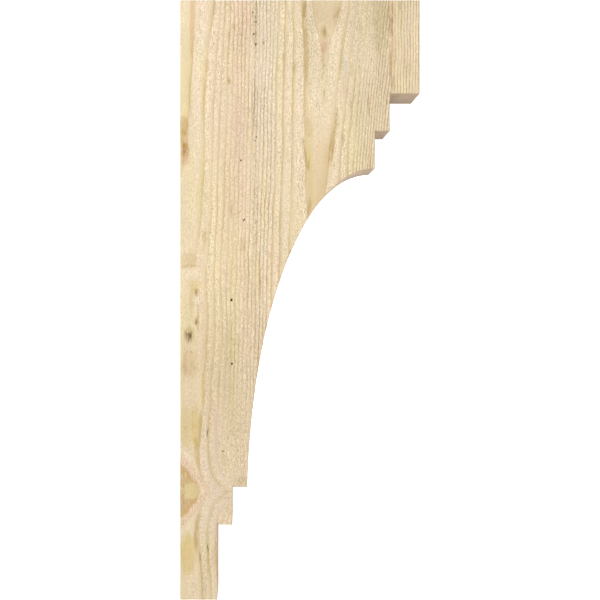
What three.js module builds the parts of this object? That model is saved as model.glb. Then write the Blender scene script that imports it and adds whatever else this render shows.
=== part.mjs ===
import * as THREE from "three";

// A stepped timber corbel bracket, sawn as one solid from a flat blank of Douglas fir.
// Millimetres, +X out from the wall, +Y along the wall, +Z up.
// The origin is the centre of the back face, which is built up against the wall.

// Sawn timber is sold and laid out in inches.
const INCH = 25.4;

// The blank that the bracket is sawn from.
const HEIGHT = 40 * INCH;
const PROJECTION = 16 * INCH;
const THICKNESS = 5.5 * INCH;

// The head is the block under the seat, and the only part at full projection.
const HEAD_HEIGHT = 6.25 * INCH;
const HEAD_OVERHANG = 2 * INCH;

// Every step under the head and above the tail has the same rise and the same tread.
const STEP_RISE = 2.5 * INCH;
const STEP_TREAD = 1 * INCH;

// The tail is the narrow strip that runs down the wall below the sweep.
const TAIL_DEPTH = 2.5 * INCH;
const TAIL_HEIGHT = 5 * INCH;

// The sweep is an arc of an ellipse, which starts level under the last step of the head.
// It stops this far above the ellipse's own centre, so it reaches its foot not quite upright.
const SWEEP_CUT_SHORT = 1.3 * INCH;
const SWEEP_SEGMENTS = 48;

// Levels of the steps, from the seat down.
const seat = HEIGHT / 2;
const headUnderside = seat - HEAD_HEIGHT;
const upperStepUnderside = headUnderside - STEP_RISE;
const sweepTop = upperStepUnderside - STEP_RISE;
const tailBottom = -HEIGHT / 2;
const tailTop = tailBottom + TAIL_HEIGHT;
const sweepFoot = tailTop + STEP_RISE;

// Distances of the steps' faces out from the wall.
const upperStepFace = PROJECTION - HEAD_OVERHANG;
const sweepTopFace = upperStepFace - STEP_TREAD;
const lowerStepFace = TAIL_DEPTH + STEP_TREAD;
const sweepFootFace = lowerStepFace + STEP_TREAD;

// The ellipse's centre is straight below the sweep's upper end.
// Its half width is the one that brings the arc through the foot of the sweep.
function sweepEllipse() {
  const centreX = sweepTopFace;
  const centreZ = sweepFoot - SWEEP_CUT_SHORT;
  const halfHeight = sweepTop - centreZ;
  const sineAtFoot = SWEEP_CUT_SHORT / halfHeight;
  const halfWidth = (sweepTopFace - sweepFootFace) / Math.sqrt(1 - sineAtFoot ** 2);
  const footAngle = Math.PI - Math.asin(sineAtFoot);
  return { centreX, centreZ, halfWidth, halfHeight, footAngle };
}

// The side of the bracket, drawn with x out from the wall and y up.
function sideProfile() {
  const { centreX, centreZ, halfWidth, halfHeight, footAngle } = sweepEllipse();
  const side = new THREE.Shape();
  side.moveTo(0, tailBottom);
  side.lineTo(TAIL_DEPTH, tailBottom);
  side.lineTo(TAIL_DEPTH, tailTop);
  side.lineTo(lowerStepFace, tailTop);
  side.lineTo(lowerStepFace, sweepFoot);
  // The arc adds its own straight line to its first point, which is the tread of the lower step.
  side.absellipse(centreX, centreZ, halfWidth, halfHeight, footAngle, Math.PI / 2, true);
  side.lineTo(sweepTopFace, upperStepUnderside);
  side.lineTo(upperStepFace, upperStepUnderside);
  side.lineTo(upperStepFace, headUnderside);
  side.lineTo(PROJECTION, headUnderside);
  side.lineTo(PROJECTION, seat);
  side.lineTo(0, seat);
  side.closePath();
  return side;
}

// Pale, rough-sawn and unfinished Douglas fir.
const sawnFir = new THREE.MeshStandardMaterial({
  color: 0xe5d0ac,
  roughness: 0.85,
  metalness: 0,
});

function makeBracket() {
  const block = new THREE.ExtrudeGeometry(sideProfile(), {
    depth: THICKNESS,
    curveSegments: SWEEP_SEGMENTS,
    bevelEnabled: false,
  });
  // The profile is extruded along its own z, so it is centred there and stood up.
  block.translate(0, 0, -THICKNESS / 2);
  block.rotateX(Math.PI / 2);
  const bracket = new THREE.Mesh(block, sawnFir);
  bracket.name = "corbel_bracket";
  return bracket;
}

const corbel = new THREE.Group();
corbel.add(makeBracket());

export default corbel;
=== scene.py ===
"""A rough-sawn Douglas fir corbel bracket, with its surface, its grain and a plain studio."""

import logging
import math
from dataclasses import dataclass
from enum import Enum
from functools import partial

import bpy
import numpy as np
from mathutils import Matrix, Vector, geometry


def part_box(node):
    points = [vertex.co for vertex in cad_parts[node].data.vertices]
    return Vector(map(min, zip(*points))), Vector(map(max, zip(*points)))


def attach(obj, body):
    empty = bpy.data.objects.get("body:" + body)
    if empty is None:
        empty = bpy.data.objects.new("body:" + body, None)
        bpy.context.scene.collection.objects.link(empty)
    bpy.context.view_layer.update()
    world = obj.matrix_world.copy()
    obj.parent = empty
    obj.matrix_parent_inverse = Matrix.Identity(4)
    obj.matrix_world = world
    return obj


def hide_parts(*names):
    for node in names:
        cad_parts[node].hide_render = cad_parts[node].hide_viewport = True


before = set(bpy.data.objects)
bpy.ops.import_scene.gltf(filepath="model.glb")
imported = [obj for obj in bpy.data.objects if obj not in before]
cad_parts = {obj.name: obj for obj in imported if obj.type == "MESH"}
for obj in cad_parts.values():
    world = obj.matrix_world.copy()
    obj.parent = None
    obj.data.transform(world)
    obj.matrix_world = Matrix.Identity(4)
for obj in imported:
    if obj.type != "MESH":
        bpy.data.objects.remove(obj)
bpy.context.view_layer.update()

LOG = logging.getLogger("corbel")
NODE = "corbel_bracket"
BODY = "root"

# The timber is worked out in millimetres, and the frame and the studio are in metres.
MM = 0.001
# The bracket is laid out in quarter inches, and is 160 of them high.
QUARTERS_HIGH = 160
# Stains are measured against the colour of clear wood.
CLEAR_WOOD = "#e9d4b1"


def linear(colour: str) -> tuple[float, float, float, float]:
    """Turns an sRGB colour into linear light.

    Args:
        colour: The colour as hex, such as "#e5d0ac".

    Returns:
        Red, green and blue, each from 0 to 1, and a full alpha.
    """
    shares = [int(colour[i : i + 2], 16) / 255 for i in (1, 3, 5)]
    return (*[c / 12.92 if c <= 0.04045 else ((c + 0.055) / 1.055) ** 2.4 for c in shares], 1.0)


def add_node(
    tree: bpy.types.NodeTree,
    kind: str,
    inputs: dict | tuple = (),
    out: int | str = 0,
    **settings: object,
) -> bpy.types.NodeSocket | None:
    """Adds a shader node with its settings, values and links.

    Args:
        tree: The node tree that gets the node.
        kind: The node's type name after "ShaderNode", such as "Math".
        inputs: Values, or the output sockets that feed them, in the sockets' order or by socket.
        out: The name or number of the output that is wanted.
        settings: The node's own settings.

    Returns:
        That output, or None from a node that has no outputs.
    """
    node = tree.nodes.new("ShaderNode" + kind)
    for name, value in settings.items():
        setattr(node, name, value)
    for socket, value in inputs.items() if isinstance(inputs, dict) else enumerate(inputs):
        if isinstance(value, bpy.types.NodeSocket):
            tree.links.new(value, node.inputs[socket])
        else:
            node.inputs[socket].default_value = value
    return node.outputs[out] if node.outputs else None


class SmoothNoise:
    """Seeded noise in three dimensions that changes smoothly between -1 and 1."""

    SIDE = 64

    def __init__(self, seed: int) -> None:
        """Draws the lattice, which is the same for the same seed."""
        self._lattice = np.random.default_rng(seed).uniform(-1.0, 1.0, (self.SIDE,) * 3)

    def at(self, places: np.ndarray, *cell: float) -> np.ndarray:
        """Reads the noise.

        Args:
            places: Places, one to a row.
            cell: How far apart the lattice's points are along each of the three axes.

        Returns:
            One value for each place.
        """
        places = places / np.array(cell)
        corner = np.floor(places).astype(int)
        share = places - corner
        share = share * share * (3 - 2 * share)
        total = np.zeros(len(places))
        for step in np.ndindex(2, 2, 2):
            weight = np.prod(np.where(step, share, 1 - share), axis=1)
            i, j, k = ((corner + step) % self.SIDE).T
            total += weight * self._lattice[i, j, k]
        return total


@dataclass(frozen=True)
class Variation:
    """How something varies over the timber: its mean, and layers of noise that add to it.

    Each layer has its strength, how far it is shifted so that no two match, and the lengths over
    which it changes along each of the three axes.
    """

    mean: float
    layers: tuple[tuple[float, float, tuple[float, float, float]], ...]

    def at(self, noise: SmoothNoise, places: np.ndarray) -> np.ndarray:
        """Gives the value at each place, from the timber's noise."""
        added = (size * noise.at(places + shift, *cell) for size, shift, cell in self.layers)
        return self.mean + sum(added)


WANDER = Variation(0, ((1.6, 0, (70, 90, 130)), (1.7, 0, (14, 30, 36))))
CLARITY = Variation(0.85, ((0.35, 600, (24, 40, 70)), (0.3, 100, (9, 20, 44))))
DIRT = Variation(0.12, ((0.1, 400, (10, 20, 40)),))
TEARING = Variation(0.75, ((0.3, 300, (16, 30, 60)),))
WARMTH = Variation(0, ((1, 0, (13, 40, 110)), (0.5, 500, (6, 20, 60))))
PALENESS = Variation(1, ((0.035, 900, (20, 50, 140)),))
RAGGEDNESS = Variation(0, ((1, 0, (4, 4, 12)), (0.8, 200, (2.4, 2.4, 9))))
SAW_STRIPES = Variation(0, ((0.2, 800, (90, 5, 90)),))

# How deep the saw cut past the true planes, with its wave, the fuzz that it left, and the wear of
# the arrises.
SAW_DEPTH = Variation(0.2, ((0.1, 200, (40, 40, 90)),))
FUZZ_DEPTH = Variation(0, ((0.14, 0, (2.6, 2.6, 6)),))
ARRIS_WEAR = Variation(0.2, ((0.12, 700, (5, 5, 9)),))


class Stain(Enum):
    """The colours that resin, bark, sap and weather leave in pale fir."""

    PALE = "#f1e0c4"
    LILAC = "#ead3b9"
    CREAM = "#efdab2"
    YELLOW = "#e4cf9f"
    GOLD = "#e0c78e"
    AMBER = "#dbc48f"
    TAN = "#e1c8a0"
    GREY = "#e3d3bb"
    DULL = "#dac6a2"
    GREENISH = "#e0d0a6"
    PINK = "#e6c8aa"
    ROSE = "#dcbe9c"
    NUT = "#c8aa78"
    RUST = "#cba06a"
    ORANGE = "#dfba8c"
    RED = "#d3a584"
    OLIVE = "#ccbb8c"
    OCHRE = "#d3b685"
    BROWN = "#be9a68"
    UMBER = "#8a6f4c"

    @property
    def tint(self) -> np.ndarray:
        """Gives what the stain multiplies the linear colour of clear wood by."""
        return np.array(linear(self.value)[:3]) / linear(CLEAR_WOOD)[:3]


@dataclass
class WoodPoints:
    """Places in the timber, the stave that each is in, and the way that the surface faces there.

    out, back and down are distances from the wall, the front face and the seat. lay is how far out
    the grain at each place would lie if there were no knot.
    """

    position: np.ndarray
    normal: np.ndarray
    stave: np.ndarray
    out: np.ndarray
    back: np.ndarray
    down: np.ndarray
    lay: np.ndarray

    def place(self, apart: float = 0.0) -> np.ndarray:
        """Stacks the distances, with each stave that much further off than the one before it."""
        return np.stack([self.out, self.back, self.down], axis=1) + apart * self.stave[:, None]


@dataclass(frozen=True)
class Spot:
    """A soft-edged spot on the front face, by its middle and its half sizes.

    Its strength is a share from 0 to 1, and the depth of a pit or the shift of a bend in the grain.
    tilt is how far it moves outwards for each millimetre down. A spot that follows the grain bends
    round the knot with it.
    """

    out: float
    down: float
    half_width: float
    half_height: float
    strength: float
    tilt: float = 0.0
    follows: bool = False

    def reach(self, out: np.ndarray, down: np.ndarray) -> np.ndarray:
        """Measures how far places are from the middle.

        Args:
            out: Their distances out from the wall.
            down: Their distances below the seat.

        Returns:
            The squares of the distances, 1 being the spot's edge.
        """
        along = down - self.down
        across = out - self.out - self.tilt * along
        return (across / self.half_width) ** 2 + (along / self.half_height) ** 2

    def fade(self, points: WoodPoints) -> np.ndarray:
        """Gives the strength at each place, which is even in the middle and dies away at the edge."""
        return self.strength * np.exp(-self.reach(points.out, points.down) ** 2)


def spots(*rows: tuple[float, ...], follows: bool = False) -> tuple[Spot, ...]:
    """Makes spots.

    Args:
        rows: The middle, the half sizes and the strength of each, and its tilt where it has one.
        follows: Whether they follow the grain.

    Returns:
        The spots.
    """
    return tuple(Spot(*row, follows=follows) for row in rows)


# Patches where the saw tore the surface and the lines hardly show.
FAINT_PATCHES = spots(
    (312, 60, 36, 90, 0.7), (310, 200, 34, 60, 0.35), (250, 150, 16, 60, 0.5),
    (14, 560, 22, 320, 0.6), (80, 620, 44, 260, 0.45), (85, 200, 36, 300, 0.35),
    (95, 750, 38, 110, 0.75), (35, 831, 60, 90, 0.7), (10, 975, 20, 80, 0.95),
    (384, 70, 30, 110, 0.25),
)

# Patches that the saw cut clean.
CLEAN_PATCHES = spots(
    (232, 275, 24, 95, 0.6), (247, 14, 24, 44, 0.2), (76, 838, 18, 22, 0.5), (10, 722, 18, 36, 0.4),
    (14, 938, 18, 34, 0.4),
)

# Patches where dark specks of bark and resin fill the hollows.
SPECKED_PATCHES = spots(
    (128, 45, 7, 50, 1.0), (142, 75, 4, 12, 0.8), (128, 180, 5, 60, 0.75), (128, 330, 6, 110, 0.7),
    (150, 170, 14, 40, 0.35), (105, 90, 12, 60, 0.35), (97, 330, 9, 60, 0.35),
    (100, 480, 22, 60, 0.25), (92, 745, 30, 60, 0.45), (85, 860, 14, 24, 0.4), (5, 832, 5, 44, 0.6),
    (18, 1000, 14, 20, 0.3), (13, 730, 10, 30, 0.25), (318, 60, 40, 60, 0.3),
)

# Broad changes of tone from one part of the bracket to another.
TONES = {
    Stain.DULL: spots(
        (60, 860, 150, 300, 0.65), (100, 600, 60, 130, 0.3), (376, 90, 20, 110, 0.12),
        (290, 0, 95, 55, 0.6), (6, 400, 16, 420, 0.2), (217, 90, 12, 60, 0.6),
        (342, 40, 11, 60, 0.5), (84, 260, 14, 360, 0.3),
    ),
    Stain.YELLOW: spots((384, 80, 40, 160, 0.15), (66, 440, 46, 190, 0.35), (6, 560, 16, 480, 0.3)),
    Stain.GREENISH: spots((318, 215, 40, 70, 0.3)),
}

# Stains in the stave against the wall, above the knot.
WALL_STAVE_STAINS = {
    Stain.CREAM: spots(
        (8, 95, 12, 110, 0.5), (8, 188, 7, 10, 0.8), (18, 660, 14, 19, 0.45),
        (34, 652, 5.5, 42, 0.8),
    ),
    Stain.ORANGE: spots((20, 50, 3.5, 58, 0.7), (41, 154, 3.4, 22, 0.25), (18, 612, 13, 24, 0.45)),
    Stain.DULL: spots((14, 76, 14, 30, 0.35), (106, 50, 12, 60, 0.4), (102, 215, 14, 60, 0.3)),
    Stain.TAN: spots(
        (18, 150, 3.5, 45, 0.6), (14, 438, 14, 9, 1.0), (7, 620, 4, 22, 0.8),
        (76, 690, 38, 130, 0.35),
    ),
    Stain.OCHRE: spots(
        (6, 213, 8, 15, 0.9), (6, 236, 7, 13, 0.9), (46, 112, 3.0, 13, 0.45), (91, 47, 2.6, 7, 0.8),
        (41, 402, 3.0, 14, 0.8), (106, 415, 5, 12, 0.5), (16, 450, 12, 2.6, 0.6),
        (27, 494, 6, 8, 0.6), (19, 516, 2.2, 24, 0.5), (30, 540, 2.2, 24, 0.6),
        (16, 567, 8, 13, 0.8), (34, 728, 2.4, 30, 0.6, -0.06),
    ),
    Stain.RUST: spots((9, 256, 7, 13, 1.0), (28, 544, 3, 6, 1.0)),
    Stain.UMBER: spots(
        (8, 256, 2.5, 4, 0.8), (28, 545, 2.0, 4.5, 0.5), (13.5, 570, 2.6, 7.5, 1.0),
        (18.5, 567, 2.0, 6.5, 1.0), (10.5, 565, 1.6, 5, 0.6),
    ),
    Stain.RED: spots((9, 273, 7, 7, 0.5), (83, 61, 2.0, 6, 0.6)),
    Stain.GREY: spots((38, 50, 6, 45, 0.3)),
    Stain.PALE: spots((40, 7, 13, 10, 0.2), (18, 463, 12, 7, 0.5), (31, 507, 7, 5, 0.8)),
    Stain.OLIVE: spots((58, 14, 2.2, 15, 0.5), (14, 624, 12, 12, 0.25)),
    Stain.BROWN: spots(
        (83, 136, 3, 6, 0.8), (86, 355, 2.0, 14, 0.5), (27, 495, 2.4, 4.5, 0.9),
        (12, 596, 2.6, 2.6, 0.4), (20, 596, 2.6, 2.6, 0.4),
    ),
    Stain.PINK: spots(
        (95, 170, 27, 210, 0.25), (93, 122, 6, 24, 0.5), (108, 45, 10, 55, 0.35),
        (100, 215, 13, 70, 0.25),
    ),
    Stain.GOLD: spots(
        (26, 483, 9, 9, 0.7), (40, 660, 2.4, 30, 0.9), (12, 722, 14, 31, 0.6),
        (27, 722, 7, 33, 0.9),
    ),
    Stain.YELLOW: spots((45, 585, 2.2, 28, 0.6)),
    Stain.LILAC: spots((67, 722, 5, 36, 0.6)),
}

# Bands of colour in the grain that parts round the knot.
PARTED_GRAIN_STAINS = {
    Stain.LILAC: spots((37.7, 831, 4.6, 105, 0.9), (57.6, 831, 4.2, 130, 1.0), follows=True),
    Stain.DULL: spots((46.3, 831, 2.3, 140, 0.7), follows=True),
    Stain.PINK: spots((5, 831, 5, 38, 0.8), follows=True),
    Stain.OCHRE: spots((27, 775, 4.5, 34, 0.85), (27, 888, 4.5, 34, 0.75), follows=True),
}

# Stains in and round the knot.
KNOT_STAINS = {
    Stain.PALE: spots((8, 771, 9, 12, 0.8, 0.5), (8, 892, 9, 12, 0.8, -0.5)),
    Stain.BROWN: spots((1, 832, 2.6, 42, 0.5)),
    Stain.OCHRE: spots((76, 832, 12, 1.6, 0.5), (78, 843, 11, 1.6, 0.5), (82, 855, 7, 1.6, 0.4)),
    Stain.YELLOW: spots((49, 832, 3, 22, 0.5)),
    Stain.OLIVE: spots((75, 775, 5, 13, 0.35), (104, 815, 9, 7, 0.5)),
}

# Stains below the knot.
TAIL_STAINS = {
    Stain.GOLD: spots((14, 938, 14, 32, 1.0)),
    Stain.OCHRE: spots(
        (28, 910, 4.5, 26, 0.6), (37, 970, 2.4, 28, 0.5, 0.1), (41, 1005, 3.2, 16, 0.5),
    ),
    Stain.YELLOW: spots((43, 940, 12, 40, 0.5)),
    Stain.BROWN: spots((34, 942, 2.0, 8, 0.6)),
    Stain.CREAM: spots((17, 1000, 16, 17, 0.35)),
    Stain.ORANGE: spots((57, 948, 3, 14, 0.35)),
}

# Stains in the straight-grained parts of the middle stave.
MIDDLE_STAVE_STAINS = {
    Stain.GREY: spots((147, 120, 22, 150, 0.5), (142, 423, 5, 10, 0.6), (281, 110, 4, 14, 0.9)),
    Stain.DULL: spots(
        (127, 42, 5, 45, 1.0), (127, 186, 4.5, 48, 0.6), (127, 340, 4.5, 110, 0.5),
        (296, 70, 14, 30, 0.3), (318, 100, 36, 150, 0.4), (344, 90, 13, 110, 0.35),
        (276, 127, 6, 28, 0.6), (333, 42, 7, 60, 0.4, 0.05),
    ),
    Stain.BROWN: spots(
        (211, 13, 3, 17, 0.6), (136, 479, 1.8, 25, 0.8), (276, 237, 2.2, 10, 0.6),
        (289, 176, 2.0, 7, 0.5), (319, 178, 1.8, 17, 0.5),
    ),
    Stain.OCHRE: spots((211, 40, 4, 36, 0.6), (214, 94, 4, 44, 0.8)),
    Stain.OLIVE: spots(
        (193, 114, 4, 9, 0.9), (175, 94, 2.0, 9, 0.7), (274, 88, 3, 34, 0.5, -0.09),
        (291, 120, 2.6, 15, 0.5), (304, 113, 1.8, 15, 0.6), (332, 42, 4, 48, 0.2, 0.05),
    ),
    Stain.YELLOW: spots((190, 130, 3.4, 16, 0.7)),
    Stain.PINK: spots((280, 160, 9, 10, 0.6)),
    Stain.ORANGE: spots((322, 262, 2.4, 24, 0.4)),
}

# Stains in the two long tongues of the middle stave.
TONGUE_STAINS = {
    Stain.TAN: spots((249, 16, 22, 26, 0.6), (241, 285, 13, 48, 0.5)),
    Stain.BROWN: spots(
        (266, 23, 2.6, 7, 0.6, -0.5), (245, 57, 2.4, 8, 0.6), (261.5, 225, 1.4, 50, 0.5, -0.1),
        (211, 257, 1.9, 24, 0.7, 0.12),
    ),
    Stain.OCHRE: spots(
        (266, 25, 7, 17, 0.3), (244, 55, 6, 12, 0.7), (219, 216, 7, 16, 0.5),
        (256, 254, 3.4, 28, 0.8, -0.08), (262.5, 222, 3.2, 44, 0.6, -0.1), (219, 346, 2.8, 14, 0.8),
    ),
    Stain.DULL: spots((244, 100, 14, 55, 0.4)),
    Stain.RED: spots((244, 78, 6, 11, 0.5), (242, 97, 2.6, 14, 0.5), (216, 361, 2.2, 5, 0.6)),
    Stain.OLIVE: spots((243, 116, 2.6, 7, 0.7), (241, 131, 2.0, 5, 0.6), (244, 159, 1.5, 10, 0.8)),
    Stain.YELLOW: spots((218, 267, 5, 24, 0.6), (232, 280, 20, 85, 0.4)),
    Stain.GOLD: spots((222, 290, 4, 60, 0.4)),
    Stain.UMBER: spots((217, 280, 1.9, 9, 0.4)),
}

# Stains in the narrow stave of the head.
HEAD_STAVE_STAINS = {
    Stain.RED: spots((357, 44, 3.0, 17, 0.7)),
    Stain.OCHRE: spots((358, 17, 5, 20, 0.5), (361, 93, 4.5, 36, 0.5)),
    Stain.BROWN: spots(
        (360, 139, 2.6, 12, 0.6), (356.5, 110, 1.6, 24, 0.7), (380, 102, 2.0, 24, 0.4),
    ),
    Stain.CREAM: spots((399.5, 60, 3.0, 70, 0.8), (394, 102, 4, 50, 0.7)),
    Stain.YELLOW: spots((371, 60, 8, 50, 0.25)),
    Stain.UMBER: spots((372.5, 12, 1.5, 5, 0.5)),
    Stain.DULL: spots((388.5, 115, 5, 10, 0.6)),
}

# Small holes, which the colour darkens with painted shade by their depth.
PIN_HOLES = spots(
    (128.7, 37.3, 1.3, 1.8, 1.2), (125.3, 57.6, 1.3, 1.6, 1.2), (128.7, 74.5, 1.4, 2.0, 1.2),
    (142.2, 72.5, 1.0, 3.0, 0.8), (123.5, 20.5, 1.2, 2.2, 0.8), (129.0, 232.0, 1.2, 1.6, 1.2),
    (127.5, 237.5, 1.0, 1.4, 0.8), (103.3, 271.5, 1.4, 1.7, 1.2),
    (108.4, 372.5, 1.2, 2.6, 1.2, -0.5), (87.2, 508.0, 1.7, 2.2, 2.0, -0.4),
    (88.0, 616.0, 1.4, 1.8, 1.8), (72.8, 764.0, 1.1, 1.4, 1.2),
)

# Short splits that follow the grain.
CHECKS = spots(
    (46.5, 733.0, 1.3, 10.0, 0.6, -0.15), (47.0, 928.0, 1.3, 10.0, 0.6, 0.2),
    (344.4, 57.0, 0.8, 13.0, 0.4),
)


@dataclass(frozen=True)
class Stave:
    """One board of the glued-up blank, as the part of a tree that it was sawn from.

    The pith is the tree's heart. The rings are wide in its youth, and even and narrow later.
    """

    pith_out: float
    pith_front: float
    tongue_down: float
    lean: float
    taper: float
    later_ring: float
    young_rings: tuple[float, ...] = ()
    crowded: float = 1.0
    # The grain turns over at this level, which is far below the bracket where none is given.
    turn_down: float = 10000
    bends: tuple[Spot, ...] = ()

    def rings(self, out: np.ndarray, back: np.ndarray, down: np.ndarray) -> np.ndarray:
        """Counts rings from the one whose tongue closes at tongue_down on the front face.

        Args:
            out: Distances out from the wall.
            back: Distances behind the front face.
            down: Distances below the seat.

        Returns:
            The ring number at each place, in whole and part rings.
        """
        level = self.turn_down - np.abs(down - self.turn_down)
        across = out - self.pith_out - self.lean * level
        for bend in self.bends:
            across = across - bend.strength * np.exp(-bend.reach(out, level))
        across = np.where(across > 0, across * self.crowded, across)
        radius = np.hypot(across, self.pith_front + back)
        grown = radius - self.pith_front + self.taper * (level - self.tongue_down)
        # The first and last widths hold for many more rings than the timber has.
        many = 60
        young = self.young_rings or (self.later_ring,)
        edges = np.concatenate([[0.0], np.cumsum(young)])
        edges = [-many * young[0], *edges, edges[-1] + many * self.later_ring]
        years = [-many, *range(len(young) + 1), len(young) + many]
        return np.interp(grown, edges, years)


# The stave against the wall holds the big knot, and turns over at it.
WALL_STAVE = Stave(
    pith_out=-8.5,
    pith_front=69.4,
    tongue_down=310,
    lean=0.006,
    taper=0.0273,
    young_rings=(12.0, 9.8, 7.8, 9.0, 6.8, 6.2),
    later_ring=6.0,
    turn_down=831.4,
    bends=spots(
        (60, 5, 18, 75, 12), (36, 440, 40, 55, -3), (40, 560, 60, 65, 5), (34, 330, 30, 130, 4),
    ),
)

# The wide stave was sawn close to the heart, and carries the long tongues.
MIDDLE_STAVE = Stave(
    pith_out=251.5,
    pith_front=69.4,
    tongue_down=115,
    lean=-0.064,
    taper=0.0293,
    young_rings=(8.4, 10.9, 9.8, 8.7),
    later_ring=5.0,
    crowded=1.244,
    bends=spots(
        (275, 10, 30, 50, 5),
        (220, 10, 25, 55, -7),
        (270, 320, 35, 60, 5),
        (235, 82, 10, 30, 4),
        (256, 80, 10, 30, -4),
    ),
)

# The narrow stave on the head is slow-grown, and its lines are straight and close.
HEAD_STAVE = Stave(
    pith_out=150, pith_front=210, tongue_down=0, lean=0.005, taper=0.004, later_ring=3.76
)


@dataclass(frozen=True)
class Knot:
    """A branch that was sawn across, and the grain that was pushed outwards by it.

    Each step of the flow gives where the grain lay in the clear wood, how far the knot pushes it,
    and how far along the grain the push dies away.
    """

    out: float = 18.6
    down: float = 831.4
    radius: float = 14.4
    ring: float = 2.4
    flow: tuple = ((5, 45, 30), (33, 19, 20), (55, 42, 24), (122, 0, 24))
    # How the branch leans in the timber, and how much thicker it is at the back.
    drift: float = 0.08
    rise: float = 0.1
    swelling: float = 0.3
    swollen_back: float = 140
    # How much cleaner the saw cut its hard wood.
    cleaner: float = 0.8
    # Deeper in the timber it is loose, with a rim of dark bark.
    loosens: tuple = (24, 84)
    bark_width: float = 1.6
    bark_darkens: float = 0.3

    def places(self, points: WoodPoints) -> tuple[np.ndarray, np.ndarray, np.ndarray]:
        """Measures where each place lies from the knot's middle.

        Args:
            points: The places.

        Returns:
            Distance across the grain, distance along it, and the knot's radius at that depth.
        """
        across = points.out - self.out - self.drift * points.back
        along = points.down - self.down + self.rise * points.back
        return across, along, self.radius * (1 + self.swelling * points.back / self.swollen_back)

    def part_grain(self, points: WoodPoints) -> np.ndarray:
        """Finds where the grain at each place would lie if the knot weren't there.

        Args:
            points: The places.

        Returns:
            The distance that each place's grain has been pushed out from the wall.
        """
        lay, push, reach = np.array(self.flow, float).T
        _, along, _ = self.places(points)
        rounding = 1.5
        along = np.sqrt(along**2 + rounding**2) - rounding
        low = points.out - 1.1 * push.max()
        high = points.out
        # The push depends on where the grain lay, so that place is found by halving.
        for _ in range(18):
            middle = (low + high) / 2
            moved = np.interp(middle, lay, push) * np.exp(-along / np.interp(middle, lay, reach))
            beyond = middle + moved > points.out
            high = np.where(beyond, middle, high)
            low = np.where(beyond, low, middle)
        return points.out - (low + high) / 2

    def share(self, points: WoodPoints) -> tuple[np.ndarray, np.ndarray]:
        """Tells knot wood from stem wood.

        Args:
            points: The places.

        Returns:
            1 inside the knot falling to 0 outside it, and the knot's own ring number.
        """
        across, along, radius = self.places(points)
        distance = np.hypot(across, along)
        soft_edge = 1.2
        return np.clip((radius - distance) / soft_edge + 0.5, 0.0, 1.0), distance / self.ring


@dataclass(frozen=True)
class Collar:
    """The bark-stained wood that wraps a knot, and the pale wood that healed over it."""

    out: float = 1
    down: float = 832.5
    half_width: float = 34
    half_height: float = 46
    # How far behind the front face the stain has faded to a third.
    fade: float = 60
    # Its shape lies between a diamond and an ellipse, and its edge is frayed.
    roundness: float = 1.2
    frays: float = 0.07
    # Where the stain ends, where it turns redder, and where the healed wood starts and ends.
    ends: tuple = (0.95, 1.05)
    reddens: tuple = (0.55, 0.95)
    heals: tuple = (0.95, 1.05, 1.4, 1.6)
    # How strong the red is at the rim, and the healed wood beyond it.
    reddest: float = 0.7
    healed_most: float = 0.8

    def layers(self, points: WoodPoints, ragged: np.ndarray) -> list[tuple[np.ndarray, Stain]]:
        """Finds how much of each place is healed wood and how much is stained wood.

        Args:
            points: The places.
            ragged: Noise that frays the edges.

        Returns:
            A share for each place with its stain, in the order in which they are laid.
        """
        across = np.abs(points.out - self.out) / self.half_width
        along = np.abs(points.down - self.down) / self.half_height
        reach = across**self.roundness + along**self.roundness + self.frays * ragged
        near = np.exp(-points.back / self.fade)
        inside = np.interp(reach, self.ends, (1.0, 0.0)) * near
        rim = np.interp(reach, self.reddens, (0.0, self.reddest))
        healed = np.interp(reach, self.heals, (0.0, 1.0, 1.0, 0.0)) * near
        healed = healed * np.clip(3 * along, 0.0, self.healed_most)
        return [(healed, Stain.ROSE), (inside, Stain.NUT), (inside * rim, Stain.RUST)]


@dataclass(frozen=True)
class Limb:
    """A small branch sawn lengthwise, whose own grain runs outwards across the stem's."""

    out: float = 70
    down: float = 831.4
    half_width: float = 16
    half_height: float = 17
    depth: float = 22
    ring: float = 5.0
    # How pointed it is, how much it widens outwards, and how much it hides the stem's lines.
    pointed: float = 1.3
    flare: float = 0.6
    hides: float = 0.3

    def share(self, points: WoodPoints) -> tuple[np.ndarray, np.ndarray]:
        """Tells the limb's wood from stem wood.

        Args:
            points: The places.

        Returns:
            1 inside the limb and 0 outside it, and the limb's own ring number.
        """
        across = (points.out - self.out) / self.half_width
        aside = np.abs(points.down - self.down)
        through = points.back / self.depth
        inside = across**2 + (aside / self.half_height) ** self.pointed + through**2 < 1.0
        return inside.astype(float), aside / (1 + self.flare * across) / self.ring


@dataclass(frozen=True)
class Shelf:
    """A ledge in the grain, where a year's wood closed over the stub of a dead branch."""

    out: float = 8
    down: float = 452
    end: float = 750
    reach: float = 22
    depth: float = 30
    rings: float = 6.5 / 9.8
    # How sharply it steps, and over what length it dies out at its end.
    step: float = 5
    tails_off: float = 100

    def extra(self, points: WoodPoints) -> np.ndarray:
        """Finds how many more rings there are below the ledge.

        Args:
            points: The places.

        Returns:
            The extra rings at each place.
        """
        below = np.clip((points.down - self.down) / self.step + 0.5, 0.0, 1.0)
        above = np.clip((self.end - points.down) / self.tails_off, 0.0, 1.0)
        near = np.exp(-(((points.out - self.out) / self.reach) ** 4))
        return self.rings * below * above * near * np.exp(-points.back / self.depth)


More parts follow.
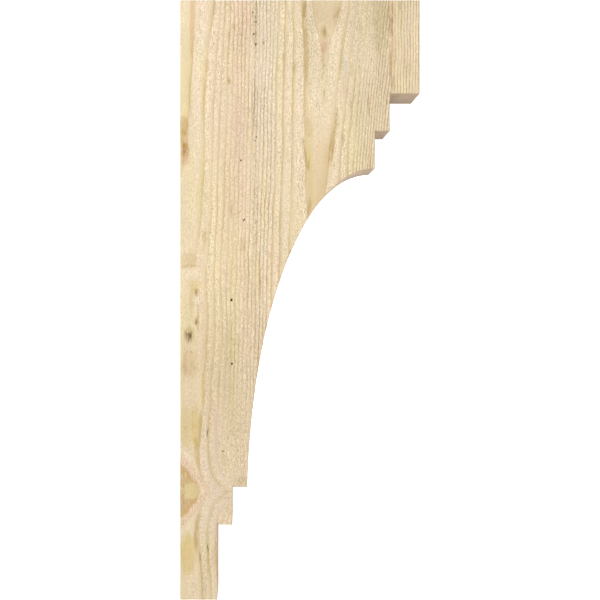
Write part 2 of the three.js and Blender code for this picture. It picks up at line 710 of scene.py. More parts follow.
@dataclass
class Timber:
    """The glued-up Douglas fir blank: its staves, its knots, the marks in it and its sawn surface."""

    thickness: float
    height: float
    glue_lines: tuple[float, float]
    seed: int = 20
    staves: tuple[Stave, ...] = (WALL_STAVE, MIDDLE_STAVE, HEAD_STAVE)
    knot: Knot = Knot()
    collar: Collar = Collar()
    limb: Limb = Limb()
    shelf: Shelf = Shelf()
    pits: tuple[Spot, ...] = PIN_HOLES + CHECKS

    # The wood's own changes of hue, which multiply its linear colour.
    pinker: tuple = (0.01, -0.03, -0.02)
    yellower: tuple = (-0.01, 0.0, -0.10)
    # How far behind the front face stains and specks reach.
    stain_depth: float = 25
    speck_depth: float = 40
    # Where a stain has gone, 1 being its edge, and how much the noise frays that.
    stain_ends: float = 1.6
    stain_frays: float = 0.3
    # The painted shade and light on the end grain under a step: how much lighter it is in front, how
    # much darker towards the back, and how much lighter where the face turns outwards.
    underside_painted_shade: tuple = (0.34, -0.47, 0.5)
    # The saw cut cleaner beside the wall, by distances out and the shares of fuzz there, and in the
    # head's stave.
    cleaner_by_wall: tuple = ((24, 36, 55, 80), (0.55, 0.95, 0.95, 1.0))
    cleaner_head: float = 0.6
    clearest: float = 1.2
    # How far the harder latewood stands out from the rest, and over what part of the year it comes.
    latewood_stands: float = 0.12
    latewood_year: tuple = (0.4, 0.8, 0.92, 1.0)

    def __post_init__(self) -> None:
        """Draws the noise and gathers the stains."""
        self.noise = SmoothNoise(self.seed)
        areas = (
            TONES,
            WALL_STAVE_STAINS,
            PARTED_GRAIN_STAINS,
            KNOT_STAINS,
            TAIL_STAINS,
            MIDDLE_STAVE_STAINS,
            TONGUE_STAINS,
            HEAD_STAVE_STAINS,
        )
        pairs = [pair for area in areas for pair in area.items()]
        self.marks = [(stain, mark) for stain, marks in pairs for mark in marks]

    def points(
        self, position: np.ndarray, normal: np.ndarray, stave: np.ndarray | None = None
    ) -> WoodPoints:
        """Sorts places by stave and by their distances in the timber.

        Args:
            position: Places in the frame, in millimetres.
            normal: The way that the surface faces at each.
            stave: The number of the stave that each is in, where that isn't read from its place.

        Returns:
            The places with their distances from the wall, the front face and the seat.
        """
        x, y, z = position.T
        if stave is None:
            stave = np.digitize(x, self.glue_lines)
        made = WoodPoints(position, normal, stave, x, y + self.thickness / 2, self.height / 2 - z, x)
        made.lay = x - np.where(x < self.glue_lines[0], self.knot.part_grain(made), 0.0)
        return made

    def growth(self, points: WoodPoints) -> np.ndarray:
        """Counts the yearly rings, with the wander and the knots that disturb them.

        Args:
            points: The places.

        Returns:
            The ring number at each place.
        """
        out = points.lay + WANDER.at(self.noise, points.place(apart=370))
        counts = [stave.rings(out, points.back, points.down) for stave in self.staves]
        by_wall = points.stave == 0
        total = np.choose(points.stave, counts) + np.where(by_wall, self.shelf.extra(points), 0.0)
        for wood in (self.limb, self.knot):
            inside, own = wood.share(points)
            total = np.where((inside > 0.5) & by_wall, own, total)
        return total

    def crowding(self, points: WoodPoints, growth: np.ndarray) -> np.ndarray:
        """Measures how close the rings lie to each other on the surface.

        Args:
            points: The places.
            growth: The ring number at each.

        Returns:
            Rings in a millimetre.
        """
        step = 0.4
        slope = []
        for way in np.eye(3):
            shifted = self.points(points.position + step * way, points.normal, points.stave)
            slope.append((self.growth(shifted) - growth) / step)
        slope = np.clip(np.stack(slope, axis=1), -1.0, 1.0)
        through = np.sum(slope * points.normal, axis=1)
        return np.sqrt(np.maximum(np.sum(slope**2, axis=1) - through**2, 0.0))

    def clarity(self, points: WoodPoints) -> np.ndarray:
        """Finds how clearly the yearly lines show through the torn surface.

        Args:
            points: The places.

        Returns:
            Near 1 where the lines are plain, and near 0 where the saw has hidden them.
        """
        clear = CLARITY.at(self.noise, points.place())
        for patch in FAINT_PATCHES:
            clear *= 1 - patch.fade(points)
        inside, _ = self.limb.share(points)
        return np.clip(clear * (1 - self.limb.hides * inside), 0.0, self.clearest)

    def dirt(self, points: WoodPoints) -> np.ndarray:
        """Finds how thickly dark specks of bark and resin lie in the torn surface.

        Args:
            points: The places.

        Returns:
            The share of the hollows that they fill.
        """
        found = DIRT.at(self.noise, points.place())
        for patch in SPECKED_PATCHES:
            found = np.maximum(found, patch.fade(points) * np.exp(-points.back / self.speck_depth))
        return np.clip(found, 0.0, 1.0)

    def torn(self, points: WoodPoints) -> np.ndarray:
        """Finds how much the saw tore the fibres.

        Args:
            points: The places.

        Returns:
            0 where the cut is clean, and 1 where it is all fuzz.
        """
        rough = TEARING.at(self.noise, points.place(apart=110))
        inside, _ = self.knot.share(points)
        rough *= 1 - self.knot.cleaner * inside
        rough *= np.interp(points.out, *self.cleaner_by_wall)
        for patch in CLEAN_PATCHES:
            rough *= 1 - patch.fade(points)
        healed, _ = self.collar.layers(points, np.zeros(len(rough)))[0]
        rough = np.maximum(rough, healed)
        return np.where(points.stave == 2, self.cleaner_head * rough, rough)

    def tint(self, points: WoodPoints) -> np.ndarray:
        """Mixes the broad changes of hue, the stains near the front face, and the painted shade on the
        end grain under the steps.

        Args:
            points: The places.

        Returns:
            What the wood's colour is multiplied by, in linear light.
        """
        place = points.place(apart=730)
        warm = WARMTH.at(self.noise, place)
        tint = 1 + np.outer(np.maximum(warm, 0), self.pinker)
        tint += np.outer(np.maximum(-warm, 0), self.yellower)
        tint *= PALENESS.at(self.noise, place)[:, None]
        ragged = RAGGEDNESS.at(self.noise, place)
        frayed = (points.back / self.stain_depth) ** 2 + self.stain_frays * ragged
        for stain, mark in self.marks:
            reach = mark.reach(points.lay if mark.follows else points.out, points.down)
            share = mark.strength * np.clip(self.stain_ends - reach - frayed, 0.0, 1.0)
            tint *= 1 + np.outer(share, stain.tint - 1)
        # The end grain under the steps is striped by the saw, and carries painted shade: darker towards
        # the back, lighter in front and where the face turns outwards.
        under = np.clip(-2 * points.normal[:, 2], 0.0, 1.0)
        front, back, outwards = self.underside_painted_shade
        underside_shade = front + back * points.back / self.thickness + outwards * points.normal[:, 0]
        tint *= 1 + (under * (underside_shade + SAW_STRIPES.at(self.noise, place)))[:, None]
        for share, stain in self.collar.layers(points, ragged):
            tint += share[:, None] * (stain.tint - tint)
        across, along, radius = self.knot.places(points)
        beyond = np.hypot(across, along) - radius
        inside = np.clip(0.5 - beyond / 4, 0.0, 1.0)[:, None]
        tint += inside * (np.outer(1 + 0.03 * ragged, Stain.AMBER.tint) - tint)
        loose = np.interp(points.back, self.knot.loosens, (0.0, 1.0))
        bark = self.knot.bark_darkens * np.exp(-((beyond / self.knot.bark_width) ** 2)) * loose
        return tint * (1 - bark[:, None])

    def pitting(self, points: WoodPoints) -> np.ndarray:
        """Finds how deep the pin holes and checks are.

        Args:
            points: The places.

        Returns:
            The depth below the surface.
        """
        depth = np.zeros(len(points.out))
        for pit in self.pits:
            bowl = np.clip(1 - pit.reach(points.out, points.down), 0.0, 1.0) ** 0.5
            depth = np.maximum(depth, pit.strength * bowl)
        return np.where(points.back < 0.5, depth, 0.0)

    def relief(
        self, points: WoodPoints, growth: np.ndarray, torn: np.ndarray, arris: np.ndarray
    ) -> np.ndarray:
        """Works out how far the sawn surface lies inside the true planes.

        Args:
            points: The places.
            growth: The ring number at each.
            torn: How much the saw tore the fibres at each.
            arris: Whether each is on an arris.

        Returns:
            The depth at each place, never outside the planes.
        """
        phase = growth - np.floor(growth)
        late = np.interp(phase, self.latewood_year, (0.0, 1.0, 1.0, 0.0))
        depth = SAW_DEPTH.at(self.noise, points.position) - self.latewood_stands * late
        depth += FUZZ_DEPTH.at(self.noise, points.position) * torn
        worn = ARRIS_WEAR.at(self.noise, points.position)
        return np.maximum(depth, 0.0) + np.where(arris, worn, 0.0)


@dataclass
class SawnProfile:
    """The bracket's side: a stepped head, a sweep and a stepped tail, cut across two glue lines.

    Every place in it has an x, out from the wall, and a z, up from the middle of the height.
    """

    depth: float
    height: float

    # Sizes of the head, the steps and the tail, in quarter inches. The sweep stops short of its
    # ellipse's own centre.
    head: float = 25
    rise: float = 10
    tread: float = 4
    tail_depth: float = 10
    tail_height: float = 20
    cut_short: float = 5.2
    # Where the first glue line is, how far the other is past the upper step, and half their width.
    first_glue_line: float = 122.8
    past_step: float = 0.3
    glue: float = 0.1
    # Spacing of the outline's points across and along the grain, and from an arris.
    across: float = 1.75
    along: float = 5.6
    arris: float = 1.2

    def __post_init__(self) -> None:
        """Works out the steps from the height, and then the outline."""
        quarter = self.height / QUARTERS_HIGH
        rise = self.rise * quarter
        tread = self.tread * quarter
        self.top = self.height / 2
        self.tail_out = self.tail_depth * quarter
        self.tail_top = -self.top + self.tail_height * quarter
        self.lower_out = self.tail_out + tread
        self.foot = self.tail_top + rise
        self.foot_out = self.lower_out + tread
        self.head_under = self.top - self.head * quarter
        self.step_under = self.head_under - rise
        self.sweep_top = self.step_under - rise
        self.step_out = self.depth - 2 * tread
        self.sweep_out = self.step_out - tread
        self.centre = self.foot - self.cut_short * quarter
        self.glue_lines = (self.first_glue_line, self.step_out + self.past_step)
        self.seams = [line + side * self.glue for line in self.glue_lines for side in (-1, 1)]
        self.loop = self.outline()
        way = np.roll(self.loop, -1, axis=0) - self.loop
        way /= np.hypot(*way.T)[:, None]
        # The outward normals of the edges that start and end at each point.
        self.after = np.stack([way[:, 1], -way[:, 0]], axis=1)
        self.before = np.roll(self.after, 1, axis=0)

    def sweep(self) -> np.ndarray:
        """Draws the sweep as an arc of an ellipse.

        Returns:
            Points from its foot to its upper end.
        """
        half_height = self.sweep_top - self.centre
        sine = (self.foot - self.centre) / half_height
        half_width = (self.sweep_out - self.foot_out) / math.sqrt(1 - sine**2)
        turn = np.linspace(math.pi - math.asin(sine), math.pi / 2, 600)
        x = self.sweep_out + half_width * np.cos(turn)
        return np.stack([x, self.centre + half_height * np.sin(turn)], axis=1)

    def edges(self) -> list[np.ndarray]:
        """Lists the outline's edges, anticlockwise from the foot of the wall face.

        Returns:
            The points of each edge, from its first corner to its last.
        """
        sweep = self.sweep()
        corners = [
            (0.0, -self.top),
            (self.tail_out, -self.top),
            (self.tail_out, self.tail_top),
            (self.lower_out, self.tail_top),
            (self.lower_out, self.foot),
            (self.foot_out, self.foot),
            (self.sweep_out, self.sweep_top),
            (self.sweep_out, self.step_under),
            (self.step_out, self.step_under),
            (self.step_out, self.head_under),
            (self.depth, self.head_under),
            (self.depth, self.top),
            (0.0, self.top),
        ]
        edges = [np.array(ends) for ends in zip(corners, corners[1:] + corners[:1])]
        edges[corners.index((self.foot_out, self.foot))] = sweep
        return edges

    def divide(self, edge: np.ndarray) -> np.ndarray:
        """Spaces points along an edge, with one close to each end for the worn arris.

        Args:
            edge: The edge's points.

        Returns:
            The new points, without the last one, which begins the next edge.
        """
        steps = np.diff(edge, axis=0)
        length = np.concatenate([[0], np.cumsum(np.hypot(*steps.T))])
        weighed = np.concatenate([[0], np.cumsum(np.hypot(*(steps / [self.across, self.along]).T))])
        count = max(2, round(weighed[-1]))
        even = np.interp(np.linspace(0, weighed[-1], count + 1), weighed, length)
        inner = even[(even > 2 * self.arris) & (even < length[-1] - 2 * self.arris)]
        stops = np.concatenate([[0, self.arris], inner, [length[-1] - self.arris]])
        return np.stack([np.interp(stops, length, edge[:, i]) for i in (0, 1)], axis=1)

    def outline(self) -> np.ndarray:
        """Joins the divided edges, and adds points where the sides of a glue line meet them.

        Returns:
            The outline's points, anticlockwise.
        """
        loop = np.concatenate([self.divide(edge) for edge in self.edges()])
        for seam in self.seams:
            made = []
            for a, b in zip(loop, np.roll(loop, -1, axis=0)):
                made.append(a)
                if (a[0] - seam) * (b[0] - seam) < 0:
                    made.append(a + (b - a) * (seam - a[0]) / (b[0] - a[0]))
            loop = np.array(made)
        return loop

    def inside(self, places: np.ndarray) -> np.ndarray:
        """Tests which places lie inside the outline.

        Args:
            places: The places.

        Returns:
            True for each place that lies inside.
        """
        found = np.zeros(len(places), bool)
        for a, b in zip(self.loop, np.roll(self.loop, -1, axis=0)):
            spans = (a[1] > places[:, 1]) != (b[1] > places[:, 1])
            if spans.any():
                crossing = a[0] + (places[spans, 1] - a[1]) * (b[0] - a[0]) / (b[1] - a[1])
                found[spans] ^= places[spans, 0] < crossing
        return found

    def clearance(self, places: np.ndarray) -> np.ndarray:
        """Measures how far places are from the outline, in spacings of its points.

        Args:
            places: The places.

        Returns:
            The distance of each place, 1 being the spacing of the points.
        """
        scale = np.array([self.across, self.along])
        loop = self.loop / scale
        found = np.full(len(places), np.inf)
        for a, b in zip(loop, np.roll(loop, -1, axis=0)):
            way = b - a
            share = np.clip(((places / scale - a) @ way) / max(way @ way, 1e-12), 0, 1)
            gap = places / scale - a - share[:, None] * way
            found = np.minimum(found, np.hypot(*gap.T))
        return found

    def lattice(self, along: float) -> np.ndarray:
        """Spaces points over the side, every second column half a step higher.

        Args:
            along: The spacing along the grain.

        Returns:
            The points.
        """
        xs = np.arange(self.across, self.depth, self.across)
        zs = np.arange(along - self.top, self.top, along)
        grid = np.stack(np.meshgrid(xs, zs, indexing="ij"), axis=2)
        grid[1::2, :, 1] += along / 2
        return grid.reshape(-1, 2)


@dataclass
class CorbelBracket:
    """The whole bracket as one sawn piece."""

    low: Vector
    high: Vector
    # Spacing of the points from face to face.
    through: float = 2.7
    # Where the grain turns sharply the points stand this close along it: patches by the distances
    # out and down of two corners.
    close_along: float = 2.4
    close_patches: tuple = ((0, 785, 104, 884), (0, 436, 42, 478))
    # Arrises are darkened with painted shade, standing in for the shaded faces that turn away at the
    # outline.
    arris_painted_shade: float = 0.71

    def __post_init__(self) -> None:
        """Takes the bracket's sizes from its box in the frame."""
        depth, self.thickness, height = (side / MM for side in self.high - self.low)
        self.profile = SawnProfile(depth, height)
        self.timber = Timber(self.thickness, height, self.profile.glue_lines)

    def side_points(self) -> np.ndarray:
        """Fills the side with points, closer together across the grain than along it.

        Returns:
            The points inside the outline.
        """
        profile = self.profile
        corner = np.sum(profile.before * profile.after, axis=1) < 0.5
        near_corner = (np.roll(corner, 1) | np.roll(corner, -1)) & ~corner
        lean = profile.before + profile.after
        lean /= np.sum(lean * profile.after, axis=1)[:, None]
        ring = (profile.loop - lean * profile.arris)[~near_corner]
        grid = profile.lattice(profile.along)
        close = profile.lattice(self.close_along)
        for out, down, far_out, far_down in self.close_patches:
            low = np.array([out, profile.top - far_down])
            high = np.array([far_out, profile.top - down])
            near = np.all((close > low) & (close < high), axis=1)
            far = np.any((grid <= low) | (grid >= high), axis=1)
            grid = np.concatenate([grid[far], close[near]])
        grid = grid[profile.inside(grid)]
        grid = grid[profile.clearance(grid) > 1.1]
        columns = []
        zs = np.arange(profile.along - profile.top, profile.top, profile.along)
        for seam in profile.seams:
            grid = grid[np.abs(grid[:, 0] - seam) > 0.55 * profile.across]
            column = np.stack([np.full(len(zs), seam), zs], axis=1)
            column = column[profile.inside(column)]
            columns.append(column[profile.clearance(column) > 0.3])
        ring = ring[np.min(np.abs(ring[:, :1] - profile.seams), axis=1) > 0.3 * profile.across]
        for pit in self.timber.pits:
            away = grid - [pit.out, profile.top - pit.down]
            away = away / [pit.half_width + 1.5, pit.half_height + 3]
            grid = grid[np.hypot(*away.T) > 1]
        return np.concatenate([grid, ring, *columns, self.pit_points()])

    def pit_points(self) -> np.ndarray:
        """Sets rings of points round each pit, close enough together to carry it.

        Returns:
            The points of every pit.
        """
        made = []
        for pit in self.timber.pits:
            middle = np.array([pit.out, self.profile.top - pit.down])
            made.append(middle[None])
            for share, count in ((0.5, 8), (0.95, 12), (1.5, 12)):
                turn = np.linspace(0, 2 * math.pi, count, endpoint=False)
                x = share * pit.half_width * np.cos(turn)
                z = share * pit.half_height * np.sin(turn)
                made.append(middle + np.stack([x - pit.tilt * z, z], axis=1))
        return np.concatenate(made)

    def side_faces(self) -> tuple[np.ndarray, np.ndarray]:
        """Joins the side's points into triangles.

        Returns:
            The points, with the outline's first, and the numbers of each triangle's points.
        """
        profile = self.profile
        around = len(profile.loop)
        scale = np.array([profile.across, profile.along])
        flat = [Vector(place) for place in np.concatenate([profile.loop, self.side_points()]) / scale]
        ring = [(i, (i + 1) % around) for i in range(around)]
        cut = geometry.delaunay_2d_cdt(flat, ring, [], 0, 1e-6, True)
        places = np.array([v[:] for v in cut[0]]) * scale
        triangles = np.array([f[:] for f in cut[2]])
        if len(places) < around or np.abs(places[:around] - profile.loop).max() > 0.001:
            raise ValueError("the outline changed when the side was filled in")
        return places, triangles[profile.inside(places[triangles].mean(axis=1))]

    def rows(self) -> np.ndarray:
        """Spaces the points from the front face to the back, with one close to each arris.

        Returns:
            Distances along the wall.
        """
        half = self.thickness / 2
        inner = half - self.profile.arris
        count = round(2 * inner / self.through)
        return np.concatenate([[-half], np.linspace(-inner, inner, count + 1), [half]])

    def facing(self, count: int, on_side: int, grid: np.ndarray) -> np.ndarray:
        """Finds which sawn faces meet at each point.

        Args:
            count: How many points the piece has.
            on_side: How many of them are on one side face.
            grid: The numbers of the outline's points, with a row for each level of the thickness.

        Returns:
            The normals of up to three faces at each point, the side face's first, and zeros for the
            rest.
        """
        before, after = self.profile.before, self.profile.after
        faces = np.zeros((3, count, 3))
        faces[0, :on_side, 1] = -1
        faces[0, on_side : 2 * on_side, 1] = 1
        corner = np.sum(before * after, axis=1, keepdims=True) < 0.9
        even = before + after
        even /= np.hypot(*even.T)[:, None]
        faces[1][grid, ::2] = np.where(corner, before, even)
        faces[2][grid, ::2] = np.where(corner, after, 0.0)
        return faces

    def build(self) -> bpy.types.Object:
        """Makes the sawn piece, with its relief.

        Returns:
            The piece, in the frame's place.
        """
        places, triangles = self.side_faces()
        loop, levels = self.profile.loop, self.rows()
        around, on_side = len(loop), len(places)
        rings = [np.insert(loop, 1, y, axis=1) for y in levels[1:-1]]
        position = np.concatenate([*(np.insert(places, 1, y, axis=1) for y in levels[[0, -1]]), *rings])
        starts = [0, *range(2 * on_side, len(position), around), on_side]
        grid = np.array(starts)[:, None] + np.arange(around)
        ahead = np.roll(grid, -1, axis=1)
        quads = np.stack([grid[:-1], grid[1:], ahead[1:], ahead[:-1]], axis=2).reshape(-1, 4)
        faces = [*triangles.tolist(), *(triangles[:, ::-1] + on_side).tolist(), *quads.tolist()]

        facing = self.facing(len(position), on_side, grid)
        arris = np.any(facing, axis=2).sum(axis=0) > 1
        timber = self.timber
        main = np.where(np.any(facing[0], axis=1)[:, None], facing[0], facing[1])
        points = timber.points(position, main)
        growth, torn, pitting = timber.growth(points), timber.torn(points), timber.pitting(points)
        depth = timber.relief(points, growth, torn, arris) + pitting
        moved = position - depth[:, None] * facing.sum(axis=0)

        mesh = bpy.data.meshes.new("sawn_bracket")
        mesh.from_pydata((moved * MM).tolist(), [], faces)
        mesh.update()
        facts = {
            "growth": growth,
            "crowding": timber.crowding(points, growth),
            "pitting": pitting,
            "torn": torn,
            "clarity": timber.clarity(points),
            "dirt": timber.dirt(points),
        }
        for name, values in facts.items():
            layer = mesh.attributes.new(name, "FLOAT", "POINT")
            layer.data.foreach_set("value", values.astype(np.float32))
        # The tint also carries the painted shade along every arris.
        tint = timber.tint(points) * np.where(arris, self.arris_painted_shade, 1.0)[:, None]
        tint = np.insert(tint, 3, 1.0, axis=1).astype(np.float32)
        mesh.attributes.new("tint", "FLOAT_COLOR", "POINT").data.foreach_set("color", tint.ravel())
        end_grain = np.zeros(len(faces), np.float32)
        end_grain[2 * len(triangles) :] = np.tile(np.abs(self.profile.after[:, 1]), len(levels) - 1)
        mesh.attributes.new("end_grain", "FLOAT", "FACE").data.foreach_set("value", end_grain)
        mesh.shade_smooth()
        mesh.set_sharp_from_angle(angle=math.radians(50))
        piece = bpy.data.objects.new("sawn_bracket", mesh)
        bpy.context.scene.collection.objects.link(piece)
        return piece


class Fibre(Enum):
    """Patterns of torn fibre: their sizes across and along the grain, in millimetres, and detail.

    Real fibres are finer, and these are drawn as coarse as a photograph of the whole bracket shows.
    """

    FLECK = (2.0, 4.6, 2.0)
    SWAY = (3.0, 10.0, 1.0)
    FRAY = (1.9, 14.0, 1.0)
    GRIT = (2.0, 2.0, 0.0)
    SPECK = (1.5, 5.0, 1.0)


@dataclass(frozen=True)
class RoughSawnDouglasFir:
    """Unfinished Douglas fir straight from a coarse saw.

    The teeth leave torn fibres in the soft pale earlywood, which read as speckle, painted into the
    colour as their own paler hue and as their light and shade, and cut the harder yellow latewood
    cleaner, so each ring ends in a smooth band and a ragged darker line.
    """

    earlywood: str = "#f4e0c1"
    latewood: str = "#e0c596"
    ring_line: str = "#b0966a"
    soft_line: str = "#d0b27a"
    # End grain is duller than side grain; this grey darkening is partly that and partly painted shade
    # of the undersides.
    end_wood_and_shade: str = "#d5d0d7"
    # The pin holes and checks are darkened with painted shade, more where they are deeper.
    pit_shade: str = "#4a3a28"
    speck: str = "#6f5a3c"
    # Years differ in hue between these two, by this share.
    rosy: tuple = (1.0, 0.955, 0.93, 1.0)
    green: tuple = (0.97, 0.99, 0.93, 1.0)
    year_hue: float = 0.28
    # No ring counts as wider than fifty millimetres, which is this many rings in a millimetre.
    widest: float = 0.02
    # How far a line sways across the grain, in millimetres, and how strongly the fibres fleck it.
    sway: float = 1.7
    fleck: float = 0.56
    # Loose fibres are paler and less yellow than the wood, partly as their own colour and partly as
    # painted light, and the hollows between them are browner with painted shade.
    fibre_shading_hue: tuple = (0.91, 1.0, 1.2)
    roughness: float = 0.85
    gloss: float = 0.25
    # How deep the fibres' bumps are, in millimetres, and how much of that shows.
    bump: float = 0.4
    bump_strength: float = 0.4

    def read(self, add: partial) -> dict:
        """Reads what the piece says of its surface, and lays the patterns of torn fibre.

        Args:
            add: Adds a node to the material.

        Returns:
            A socket for each fact and each pattern.
        """
        names = ("growth", "crowding", "pitting", "torn", "clarity", "dirt", "end_grain")
        found = {name: add("Attribute", attribute_name=name, out="Fac") for name in names}
        found["tint"] = add("Attribute", attribute_name="tint", out="Color")
        place = add("TexCoord", out="Object")
        for fibre in Fibre:
            across, along, detail = fibre.value
            sizes = (1 / (across * MM), 1 / (across * MM), 1 / (along * MM))
            grain = add("VectorMath", (place, sizes), operation="MULTIPLY")
            found[fibre] = add(
                "TexNoise", {"Vector": grain, "Scale": 1.0, "Detail": detail, "Roughness": 0.55}
            )
        return found

    def draw_rings(self, add: partial, found: dict) -> None:
        """Draws each year's latewood and the line at its end, from what the piece says of its rings.

        Args:
            add: Adds a node to the material.
            found: A socket for each fact and pattern, to which the lines and the eased values are
                added.
        """
        crowding, fray = found["crowding"], found[Fibre.FRAY]
        # Each row has a value, the two limits that it is eased between, and the number for each.
        eased = {
            # Close rings run straighter than wide ones, and have less latewood.
            "calm": (crowding, 0.1, 0.26, 1.0, 0.4),
            "narrow": (crowding, 0.04, 0.2, 0.85, 0.6),
            "close": (crowding, 0.07, 0.2, 0.0, 1.0),
            "frayed": (fray, 0.36, 0.56, 0.4, 1.0),
            # Stains are broken up by the torn fibres, and lie evenly where the saw cut clean.
            "broken": (fray, 0.3, 0.62, -0.45, 0.25),
            "rough": (found["torn"], 0.1, 0.45, 0.0, 1.0),
            "speck": (found[Fibre.SPECK], 0.57, 0.68, 0.0, 0.6),
            "across": (found["end_grain"], 0.3, 0.95, 0.0, 1.0),
            "pit_shade": (found["pitting"], 0.0, 0.9, 0.0, 1.0),
        }
        for name, limits in eased.items():
            found[name] = add("MapRange", limits, interpolation_type="SMOOTHSTEP")

        shift = add("Math", (found[Fibre.SWAY], 0.5), operation="SUBTRACT")
        for size in (2 * self.sway, found["calm"]):
            shift = add("Math", (shift, size), operation="MULTIPLY")
        ring = add("Math", (shift, crowding, found["growth"]), operation="MULTIPLY_ADD")
        year = add("Math", (ring,), operation="FLOOR")
        phase = add("Math", (ring,), operation="FRACT")
        lot = add("TexWhiteNoise", {"W": year}, out="Color", noise_dimensions="1D")
        lots = add("SeparateColor", (lot,)).node.outputs
        # What is left to the ring's end, in millimetres.
        left = add("Math", (1.0, phase), operation="SUBTRACT")
        nonzero = add("Math", (crowding, self.widest), operation="MAXIMUM")
        left = add("Math", (left, nonzero), operation="DIVIDE")
        eased = {
            "late": (phase, 0.48, 0.95, 0.0, 1.0),
            "late lot": (lots[0], 0.0, 1.0, 0.45, 1.0),
            "line lot": (lots[1], 0.0, 1.0, 0.65, 1.0),
            # A wide ring ends in a broad soft band, and a narrow one in a thin dark line.
            "band": (found["close"], 0.0, 1.0, 4.6, 2.1),
            "dark": (found["close"], 0.0, 1.0, 0.65, 1.0),
            "clean": (phase, 0.4, 0.8, 1.0, 0.35),
        }
        for name, limits in eased.items():
            found[name] = add("MapRange", limits, interpolation_type="SMOOTHSTEP")
        late = found["late"]
        for share in (found["late lot"], found["clarity"], found["narrow"]):
            late = add("Math", (late, share), operation="MULTIPLY")
        line = add("MapRange", (left, found["band"], 0.6, 0.0, 1.0), interpolation_type="SMOOTHSTEP")
        for share in (found["line lot"], found["frayed"], found["clarity"], found["dark"]):
            line = add("Math", (line, share), operation="MULTIPLY")
        found.update({"late": late, "line": line, "year lot": lots[2]})

    def material(self) -> bpy.types.Material:
        """Builds the finish.

        Returns:
            The material, which reads what the piece says of its rings.
        """
        made = bpy.data.materials.new("rough_sawn_douglas_fir")
        made.use_nodes = True
        made.node_tree.nodes.clear()
        add = partial(add_node, made.node_tree)
        found = self.read(add)
        self.draw_rings(add, found)
        late, line, fray = found["late"], found["line"], found[Fibre.FRAY]
        rough = add("Math", (found["torn"], found["clean"]), operation="MULTIPLY")
        # The speckle of the torn fibres is painted light and shade of their relief, from the same
        # flecks as the bump.
        fuzz = add("Math", (fray, 0.5, found[Fibre.FLECK]), operation="MULTIPLY_ADD")
        fuzz = add("Math", (found[Fibre.GRIT], 0.6, fuzz), operation="MULTIPLY_ADD")
        fuzz = add("Math", (fuzz, 1.05), operation="SUBTRACT")
        for size in (rough, 2 * self.fleck):
            fuzz = add("Math", (fuzz, size), operation="MULTIPLY")
        fuzz = add("VectorMath", (fuzz, self.fibre_shading_hue, (1.0, 1.0, 1.0)), operation="MULTIPLY_ADD")
        broken = add("Math", (found["broken"], found["rough"], 1.0), operation="MULTIPLY_ADD")
        specks = add("Math", (found["speck"], found["dirt"]), operation="MULTIPLY")
        mixed = {
            "edge": (found["close"], linear(self.soft_line), linear(self.ring_line)),
            "hue": (found["year lot"], self.rosy, self.green),
        }
        for name, (share, first, second) in mixed.items():
            found[name] = add("Mix", {0: share, 6: first, 7: second}, out=2, data_type="RGBA")
        # The wood's colour is laid in this order, and each layer is mixed in or multiplied.
        layers = (
            (late, linear(self.latewood), "MIX"),
            (line, found["edge"], "MIX"),
            (self.year_hue, found["hue"], "MULTIPLY"),
            (broken, found["tint"], "MULTIPLY"),
            (1.0, fuzz, "MULTIPLY"),
            (specks, linear(self.speck), "MIX"),
            # End grain is darkened and greyed: partly its own duller colour, partly painted shade of
            # the undersides.
            (found["across"], linear(self.end_wood_and_shade), "MULTIPLY"),
            # Painted shade in the pin holes and checks, by their depth.
            (found["pit_shade"], linear(self.pit_shade), "MIX"),
        )
        wood = linear(self.earlywood)
        for share, colour, blend in layers:
            wood = add("Mix", {0: share, 6: wood, 7: colour}, out=2, data_type="RGBA", blend_type=blend)

        height = add("Math", (found[Fibre.FLECK], rough, line), operation="MULTIPLY_ADD")
        bump = {"Height": height, "Strength": self.bump_strength, "Distance": self.bump * MM}
        surface = {
            "Base Color": wood,
            "Roughness": self.roughness,
            "Specular IOR Level": self.gloss,
            "Normal": add("Bump", bump),
        }
        add("OutputMaterial", (add("BsdfPrincipled", surface),))
        return made


@dataclass(frozen=True)
class MattWhitePaper:
    """Background paper, rolled from bleached pulp and uncoated, so it is matt and evenly white.

    It is lit from behind where it stands up, which makes it pure white in the picture.
    """

    colour: str = "#f4f4f3"
    roughness: float = 0.95
    gloss: float = 0.1
    glow: float = 0.72
    # The glow fades out between these distances to both sides of its middle, and starts here.
    glow_middle: float = 0.3
    glow_fades: tuple = (1.5, 4.0)
    glow_starts: float = 1.0

    def material(self, upright: float) -> bpy.types.Material:
        """Builds the finish.

        Args:
            upright: How far back the paper starts to stand upright.

        Returns:
            The material.
        """
        made = bpy.data.materials.new("matt_white_paper")
        made.use_nodes = True
        made.node_tree.nodes.clear()
        add = partial(add_node, made.node_tree)
        place = add("TexCoord", out="Object")
        x, y, _ = add("SeparateXYZ", (place,)).node.outputs
        aside = add("Math", (x, self.glow_middle), operation="SUBTRACT")
        aside = add("Math", (aside,), operation="ABSOLUTE")
        limits = (
            (aside, *self.glow_fades, 1.0, 0.0),
            (y, self.glow_starts, upright, 0.0, self.glow),
        )
        glow = [add("MapRange", row, interpolation_type="SMOOTHSTEP") for row in limits]
        surface = {
            "Base Color": linear(self.colour),
            "Roughness": self.roughness,
            "Specular IOR Level": self.gloss,
            "Emission Strength": add("Math", tuple(glow), operation="MULTIPLY"),
        }
        add("OutputMaterial", (add("BsdfPrincipled", surface),))
        return made


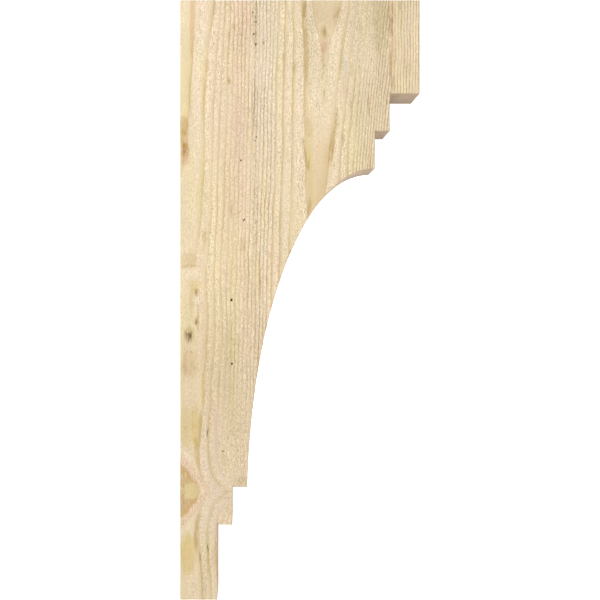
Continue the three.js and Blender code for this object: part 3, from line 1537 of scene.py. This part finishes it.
@dataclass
class Studio:
    """The pale floor and backdrop, the soft light and the camera. Sizes are in metres."""

    low: Vector
    high: Vector
    # How far the camera stands from the front face, and how far out from the wall.
    camera_away: float = 2.654
    camera_out: float = 0.1067
    # The paper's gaps to the bracket, its half width, its reach to the front and up, and its bend.
    floor_gap: float = 0.65
    wall_gap: float = 3.0
    wide: float = 16.0
    near: float = 24.0
    tall: float = 5.0
    bend: float = 0.6
    # The light of the room, and a square softbox by its side, power, place and aim.
    air: float = 0.5
    softbox_side: float = 2.0
    softbox_watts: float = 87.0
    softbox_place: tuple = (-1.8, -3.6, 1.4)
    softbox_aim: tuple = (0.2, 0.0, 0.0)

    def build(self) -> None:
        """Sets up the floor, the lights and the camera."""
        self.backdrop()
        self.lights()
        self.camera()

    def backdrop(self) -> None:
        """Makes a paper floor that curves up into a wall."""
        floor = self.low.z - self.floor_gap
        wall = self.high.y + self.wall_gap
        turn = np.linspace(0, math.pi / 2, 13)
        start = wall - self.bend
        curve = [(start + self.bend * math.sin(t), floor + self.bend * (1 - math.cos(t))) for t in turn]
        line = [(-self.near, floor), *curve, (wall, floor + self.tall)]
        mesh = bpy.data.meshes.new("studio_sweep")
        points = [(x, y, z) for y, z in line for x in (-self.wide, self.wide)]
        faces = [(2 * i, 2 * i + 1, 2 * i + 3, 2 * i + 2) for i in range(len(line) - 1)]
        mesh.from_pydata(points, [], faces)
        mesh.shade_smooth()
        mesh.materials.append(MattWhitePaper().material(start))
        sweep = bpy.data.objects.new("studio_sweep", mesh)
        bpy.context.scene.collection.objects.link(sweep)

    def lights(self) -> None:
        """Fills the room with soft light and hangs one softbox in front."""
        world = bpy.data.worlds.new("studio_air")
        world.use_nodes = True
        air = world.node_tree.nodes["Background"].inputs
        air["Color"].default_value = linear("#ffffff")
        air["Strength"].default_value = self.air
        bpy.context.scene.world = world
        light = bpy.data.lights.new("front_softbox", "AREA")
        light.size = self.softbox_side
        light.energy = self.softbox_watts
        lamp = bpy.data.objects.new("front_softbox", light)
        lamp.location = self.softbox_place
        way = Vector(self.softbox_aim) - Vector(self.softbox_place)
        lamp.rotation_euler = way.to_track_quat("-Z", "Y").to_euler()
        bpy.context.scene.collection.objects.link(lamp)

    def camera(self) -> None:
        """Stands the camera square to the front face, as the photograph was taken."""
        camera = bpy.data.cameras.new("camera")
        middle = (self.low + self.high) / 2
        tall = self.high.z - self.low.z
        camera.lens = camera.sensor_width * self.camera_away / tall
        camera.shift_x = (middle.x - self.camera_out) / tall
        stand = bpy.data.objects.new("camera", camera)
        stand.location = (self.camera_out, self.low.y - self.camera_away, middle.z)
        stand.rotation_euler = (math.pi / 2, 0, 0)
        bpy.context.scene.collection.objects.link(stand)
        bpy.context.scene.camera = stand
        bpy.context.scene.view_settings.view_transform = "Standard"


def write_sizes() -> None:
    """Updates the view layer."""
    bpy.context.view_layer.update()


def main() -> None:
    """Builds the bracket, dresses it and sets up the studio."""
    logging.basicConfig(level=logging.INFO, format="%(message)s")
    low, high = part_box(NODE)
    piece = CorbelBracket(low, high).build()
    piece.data.materials.append(RoughSawnDouglasFir().material())
    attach(piece, BODY)
    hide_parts(NODE)
    triangles = sum(len(f.vertices) - 2 for f in piece.data.polygons)
    LOG.info("%s: %d points, %d triangles", piece.name, len(piece.data.vertices), triangles)
    Studio(low, high).build()
    write_sizes()


if __name__ == "__main__":
    main()
